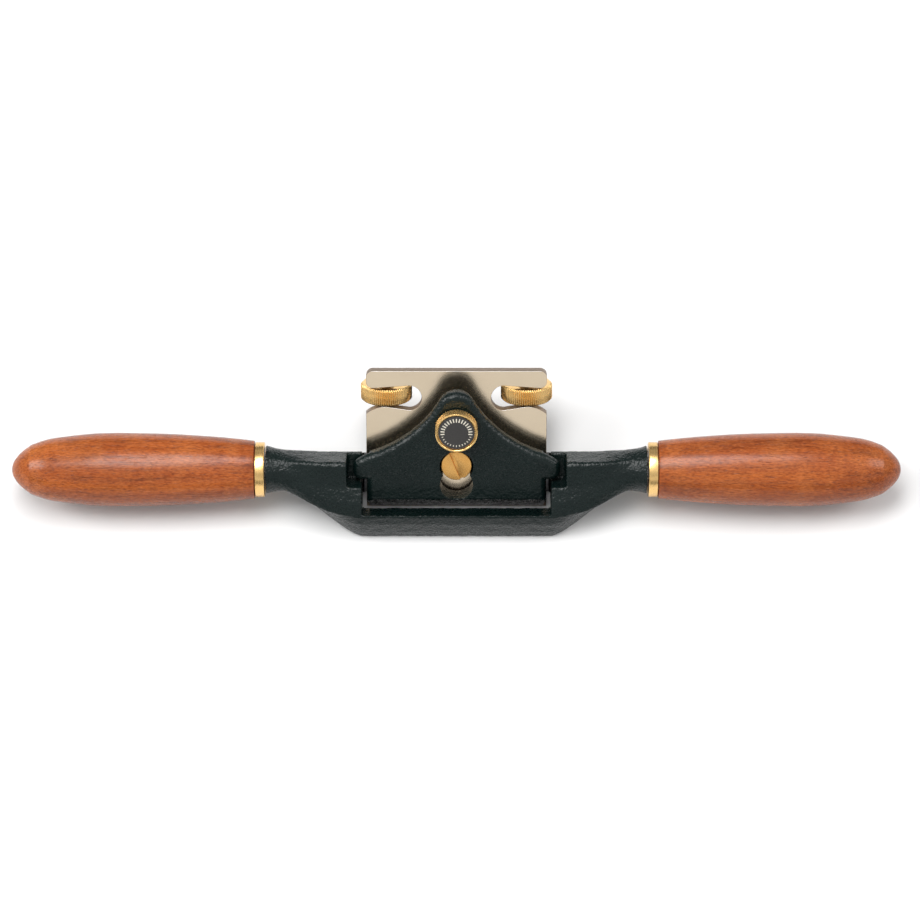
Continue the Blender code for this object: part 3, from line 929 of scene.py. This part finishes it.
def make_lever_cap(paint):
    face = spread(cap_outline(ears=True), 0.8)
    skirt = spread(cap_outline(ears=False), 0.8)
    rings = [level(inset(face, 0.4), CAP_SKIN), level(face, CAP_SKIN + 0.4)]
    rim = CAP_FACE - CAP_ROUND
    for step in range(9):
        turn = math.radians(90.0) * step / 8
        edge = inset(face, CAP_ROUND * (1 - math.cos(turn)) + 0.01)
        rings.append(level(edge, rim + CAP_ROUND * math.sin(turn)))
    cap = store("lever_cap_casting", skin(rings), CAP_FRAME)
    walls = [level(inset(skirt, 0.7), CAP_SKIRT), level(inset(skirt, 0.4), CAP_SKIN + 0.9)]
    join(cap, skin(walls), CAP_FRAME)
    cut(cap, prism(inset(skirt, 0.5 + CAP_WALL), CAP_SKIRT - 1, CAP_SKIN + 0.4), CAP_FRAME)
    foot = [(0.0, 0.0), (2.2, 0.0), (3.6, 1.6), (3.6, 4.4), (0.0, 4.4)]
    join(cap, bar(foot, CAP_HALF - 0.6), CAP_FRAME)
    boss_low = KEY_HOLE - BOSS_HALF
    boss_high = KEY_SEAT + BOSS_HALF
    key_boss = rectangle(-BOSS_HALF, BOSS_HALF, boss_low, boss_high, BOSS_ROUND, BOSS_ROUND)
    for boss in (key_boss, circle(KNOB_BOSS_RADIUS, (0.0, KNOB_A))):
        join(cap, prism(boss, BOSS_LOW, CAP_SKIN + 1.1), CAP_FRAME)

    top = CAP_FACE + 4
    wedge = [(-0.4, 0.9), (NOSE_FACE + 4, top), (-6.0, top), (-6.0, 0.9)]
    cut(cap, bar(wedge, EAR_X), CAP_FRAME)
    cut(cap, prism(circle(KEY_RADIUS, (0.0, KEY_HOLE)), -2.0, top), CAP_FRAME)
    cut(cap, prism(circle(KEY_RADIUS, (0.0, KEY_SEAT)), KEY_FLOOR, top), CAP_FRAME)
    seat_top = KEY_SEAT + KEY_SLOT_HALF
    keyway = rectangle(-KEY_SLOT_HALF, KEY_SLOT_HALF, KEY_HOLE, seat_top, 0.5, KEY_SLOT_HALF * END_SHARE)
    cut(cap, prism(keyway, -2.0, KEY_FLOOR + 1), CAP_FRAME)
    cut(cap, prism(circle(STEM_RADIUS + GAP, (0.0, KNOB_A)), -2.0, top), CAP_FRAME)
    settle(cap)
    recast(cap, CAP_VOXEL, 3)
    roughen(cap, CAP_LUMPS, not_bare)
    finish_piece(cap, "lever_cap", paint, ["lever_cap"])


# Screws and nuts

def thread(radius, low, high):
    """A threaded rod along local Z, with a chamfer at its top end."""
    rows = math.ceil((high - low) / (THREAD_PITCH / 8))
    heights = [low + (high - low) * row / rows for row in range(rows + 1)]
    profile = [(max(min(radius, radius - 0.5 + high - height), radius - 0.5), height) for height in heights]

    def groove(turn, reach, height):
        share = (height / THREAD_PITCH - turn / (2 * math.pi)) % 1.0
        return min(0.42 * abs(2 * share - 1), max(reach - (radius - 0.5), 0.0) + 0.1)

    return turned(profile, 40, relief=groove)


def make_cap_screw(brass):
    under = SCREW_FACE - SCREW_HEAD_THICK
    head = softened([
        ((SCREW_SHANK_RADIUS - 0.5, SCREW_END), 0.0),
        ((SCREW_SHANK_RADIUS, SCREW_END + 0.5), 0.2),
        ((SCREW_SHANK_RADIUS, under), 0.2),
        ((SCREW_HEAD_RADIUS, under), 0.2),
        ((SCREW_HEAD_RADIUS, SCREW_FACE), 0.45),
        ((0.0, SCREW_FACE + 0.08), 0.0),
    ])
    screw = store("cap_screw_brass", turned([(p.x, p.y) for p in head], 128), SCREW_FRAME)
    floor = SCREW_FACE - SCREW_SLOT_DEPTH
    half = SCREW_SLOT_WIDTH / 2
    slot = [(-half, floor), (half, floor), (half, SCREW_FACE + 1), (-half, SCREW_FACE + 1)]
    cut(screw, bar(slot, SCREW_HEAD_RADIUS + 1), SCREW_FRAME @ Matrix.Rotation(SCREW_SLOT_TURN, 4, "Z"))
    round_edges(screw, 2)
    settle(screw)
    finish_piece(screw, "cap_screw", brass, ["cap_screw"])


def make_thumbscrew(brass, black, mark):
    contact = -(NOSE_N + KNOB_A * math.sin(CAP_TILT)) / math.cos(CAP_TILT)
    tip = contact + GAP + STEM_RADIUS * math.tan(CAP_TILT)
    downwards = KNOB_FRAME @ Matrix.Rotation(math.pi, 4, "X")
    stem = store("thumbscrew_thread", thread(STEM_RADIUS, -STEM_TOP, -tip), downwards)
    finish_piece(stem, "thumbscrew", brass, ["thumbscrew_stem"])

    recess = KNOB_FACE - BADGE_DEPTH
    socket = STEM_TOP + GAP
    half = (KNOB_RADIUS - BADGE_RADIUS - GAP) / 2
    ring = arc(Vector((KNOB_RADIUS - half, KNOB_FACE - half)), half, 0.0, math.pi, 8)
    rows = 26
    knurled = KNOB_FACE - KNOB_BASE - 0.9
    side = [(KNOB_RADIUS, KNOB_BASE + 0.45 + knurled * row / rows) for row in range(rows + 1)]
    profile = [
        (0.0, socket),
        (STEM_RADIUS + GAP, socket),
        (STEM_RADIUS + GAP, KNOB_BASE),
        (KNOB_RADIUS - 0.5, KNOB_BASE),
        (KNOB_RADIUS - 0.2, KNOB_BASE + 0.2),
        *side,
        *[(point.x, point.y) for point in ring],
        (BADGE_RADIUS + GAP, recess),
        (0.0, recess),
    ]

    def diamonds(turn, reach, height):
        if reach < KNOB_RADIUS - 0.05:
            return 0.0
        around = KNURL_COUNT * turn
        lean = height / KNURL_PITCH * math.pi
        return KNURL_DEPTH * (1 - abs(math.cos(around + lean) * math.cos(around - lean)))

    knob = store("thumbscrew_head", turned(profile, 312, relief=diamonds), KNOB_FRAME)
    finish_piece(knob, "knob", brass, ["thumbscrew_knob"])

    seat = recess + GAP
    top = seat + 0.3
    disc = softened([
        ((0.0, seat), 0.0),
        ((BADGE_RADIUS, seat), 0.05),
        ((BADGE_RADIUS, top), 0.1),
        ((0.0, top), 0.0),
    ], 3)
    badge = store("badge_disc", turned([(p.x, p.y) for p in disc], 128), KNOB_FRAME)
    finish_piece(badge, "knob", black, ["knob_badge"])

    ticks = bmesh.new()
    for index in range(TICKS):
        turn = math.radians(90 + 360 // TICKS * index)
        inner, outer, half = LONG_TICK if index < 9 or index > 21 else SHORT_TICK
        corners = [(inner, -half), (outer, -half), (outer, half), (inner, half)]
        tick = prism([Vector(corner) for corner in corners], top - 0.02, top + 0.04)
        tick.transform(Matrix.Rotation(turn, 4, "Z"))
        made = bpy.data.meshes.new("tick")
        tick.to_mesh(made)
        tick.free()
        ticks.from_mesh(made)
    marks = store("badge_ticks", ticks, KNOB_FRAME)
    finish_piece(marks, "knob", mark)


def make_adjusters(brass, steel):
    half = NUT_THICK / 2
    profile = [
        (STUD_RADIUS + GAP, -half + 0.4),
        (STUD_RADIUS + GAP + 0.4, -half),
        (NUT_RADIUS - 0.62, -half),
        (NUT_RADIUS - 0.5, -half + 0.03),
        (NUT_RADIUS, -half + 0.5),
        (NUT_RADIUS, half - 0.5),
        (NUT_RADIUS - 0.5, half - 0.03),
        (NUT_RADIUS - 0.62, half),
        (STUD_RADIUS + GAP + 0.4, half),
        (STUD_RADIUS + GAP, half - 0.4),
    ]

    def flutes(turn, reach, height):
        if reach < NUT_RADIUS - 0.05:
            return 0.0
        return NUT_TOOTH_DEPTH * (0.5 - 0.5 * math.cos(NUT_TEETH * turn)) ** 1.4

    for side, name in ((-1, "left"), (1, "right")):
        knurled = turned(profile, NUT_TEETH * 8, hollow=True, relief=flutes)
        nut = store(f"knurled_nut_{name}", knurled, nut_frame(side))
        finish_piece(nut, f"nut_{name}", brass, [f"adjuster_nut_{name}"])
        threaded = thread(STUD_RADIUS, STUD_START - NUT_U, STUD_END - NUT_U)
        rod = store(f"threaded_stud_{name}", threaded, nut_frame(side))
        finish_piece(rod, "frame", steel, [f"adjuster_stud_{name}"])


# Handles

def make_handles(wood, brass):
    last_x, last_radius = HANDLE_SHAPE[-1]
    line = through([Vector((radius, x)) for x, radius in HANDLE_SHAPE], 6)
    nose = HANDLE_TIP - last_x
    turns = [math.radians(90.0) * step / 16 for step in range(1, 16)]
    dome = [(last_radius * math.cos(turn), last_x + nose * (1 - math.cos(turn) ** 2)) for turn in turns]
    profile = [(TENON_RADIUS, FERRULE_START + 0.1), (TENON_RADIUS, HANDLE_SHAPE[0][0])]
    profile += [(point.x, point.y) for point in line] + dome + [(0.0, HANDLE_TIP)]
    ring = [(point.x, point.y) for point in softened([
        ((TENON_RADIUS + 0.05, FERRULE_START), 0.0),
        ((FERRULE_RADIUS, FERRULE_START), 0.35),
        ((FERRULE_RADIUS, FERRULE_END), 0.2),
        ((TENON_RADIUS + 0.05, FERRULE_END), 0.0),
    ])]
    for side, name in ((-1, "left"), (1, "right")):
        handle = store(f"turned_handle_{name}", turned(profile, 128), handle_frame(side))
        finish_piece(handle, "frame", wood, [f"handle_{name}", f"handle_stud_{name}"])
        ferrule = store(f"brass_ferrule_{name}", turned(ring, 128, hollow=True), handle_frame(side))
        finish_piece(ferrule, "frame", brass, [f"ferrule_{name}"])


# Studio

CAMERA_ELEVATION = math.radians(66.0)
CAMERA_DISTANCE = 1.2
FRAME_WIDTH = 0.27756
AIM_RIGHT = 0.00106
AIM_UP = 0.01454
SENSOR_WIDTH = 36.0
FLOOR_REACH = 2500.0

# Each lamp's name, place and size in metres, and power in watts
LAMPS = [
    ("key", (-0.12, 0.08, 1.0), (0.70, 0.40), 7.6),
    ("left", (-0.9, 0.0, 0.75), (0.5, 0.4), 6.0),
    ("right", (0.9, 0.1, 0.75), (0.5, 0.4), 3.5),
]

# Grey of the surroundings by height, from the horizon at 0 to overhead at 1
SKY = [
    (0.0, 0.22),
    (0.26, 0.27),
    (0.35, 0.96),
    (0.50, 0.96),
    (0.62, 0.50),
    (0.78, 0.65),
    (0.86, 1.0),
    (1.0, 0.95),
]


def make_camera():
    out = Vector((0.0, -math.cos(CAMERA_ELEVATION), math.sin(CAMERA_ELEVATION)))
    up = Vector((0.0, math.sin(CAMERA_ELEVATION), math.cos(CAMERA_ELEVATION)))
    aim = Vector((AIM_RIGHT, EDGE_Y * MM, EDGE_HEIGHT * MM)) + up * AIM_UP
    data = bpy.data.cameras.new("camera")
    data.sensor_width = SENSOR_WIDTH
    data.lens = SENSOR_WIDTH * CAMERA_DISTANCE / FRAME_WIDTH
    camera = bpy.data.objects.new("camera", data)
    camera.location = aim + out * CAMERA_DISTANCE
    camera.rotation_euler = (math.pi / 2 - CAMERA_ELEVATION, 0.0, 0.0)
    bpy.context.scene.collection.objects.link(camera)
    bpy.context.scene.camera = camera


def softbox(name, place, size, power):
    data = bpy.data.lights.new(name, "AREA")
    data.shape = "RECTANGLE"
    data.size, data.size_y = size
    data.energy = power
    lamp = bpy.data.objects.new(name, data)
    lamp.location = place
    lamp.rotation_euler = (-Vector(place)).to_track_quat("-Z", "Y").to_euler()
    bpy.context.scene.collection.objects.link(lamp)


def make_studio():
    floor_mesh = bmesh.new()
    bmesh.ops.create_grid(floor_mesh, x_segments=1, y_segments=1, size=FLOOR_REACH)
    floor = store("floor", floor_mesh, WORLD)
    floor.data.materials.append(make_floor())

    for lamp in LAMPS:
        softbox(*lamp)

    world = bpy.data.worlds.new("studio")
    world.use_nodes = True
    tree = world.node_tree
    coords = tree.nodes.new("ShaderNodeTexCoord")
    split = tree.nodes.new("ShaderNodeSeparateXYZ")
    ramp = tree.nodes.new("ShaderNodeValToRGB")
    tree.links.new(coords.outputs["Generated"], split.inputs[0])
    tree.links.new(split.outputs["Z"], ramp.inputs["Fac"])
    while len(ramp.color_ramp.elements) < len(SKY):
        ramp.color_ramp.elements.new(0.5)
    for element, (at, grey) in zip(ramp.color_ramp.elements, SKY):
        element.position = at
        element.color = (grey, grey, grey, 1.0)
    background = tree.nodes["Background"]
    tree.links.new(ramp.outputs["Color"], background.inputs["Color"])
    behind = tree.nodes.new("ShaderNodeMapRange")
    tree.links.new(split.outputs["Y"], behind.inputs["Value"])
    for name, value in (("From Min", 0.0), ("From Max", 0.7), ("To Min", 1.0), ("To Max", 0.5)):
        behind.inputs[name].default_value = value
    tree.links.new(behind.outputs["Result"], background.inputs["Strength"])
    bpy.context.scene.world = world
    bpy.context.scene.view_settings.view_transform = "Standard"


even_lines = (2600.0, 2600.0, 2600.0)
ring_lines = (7000.0, 500.0, 500.0)
# The brass comes in lit and shaded copies: the cap screw's copy is darker as painted shade, the nuts' and the
# knob's copy is lighter as painted light
brass = make_brass("turned_brass_painted_shade", even_lines, (0.84, 0.47, 0.15), (0.78, 0.41, 0.115))
nut_brass_painted_light = make_brass("nut_brass_painted_light", even_lines, (0.94, 0.63, 0.26), (0.88, 0.56, 0.21), 0.1)
ferrule_brass = make_brass("ferrule_brass", ring_lines, (0.90, 0.61, 0.26), (0.84, 0.54, 0.21), 0.45)
make_body(make_paint("body_paint", 0.25), make_ground_iron())
make_blade(make_steel(), make_painted_edge_shade(), make_honed_highlight())
make_lever_cap(make_paint("cap_paint", 0.20))
make_cap_screw(brass)
make_thumbscrew(nut_brass_painted_light, make_badge_black(), make_badge_mark())
make_adjusters(nut_brass_painted_light, make_stud_steel())
make_handles(make_wood(), ferrule_brass)
make_camera()
make_studio()

bpy.context.view_layer.update()
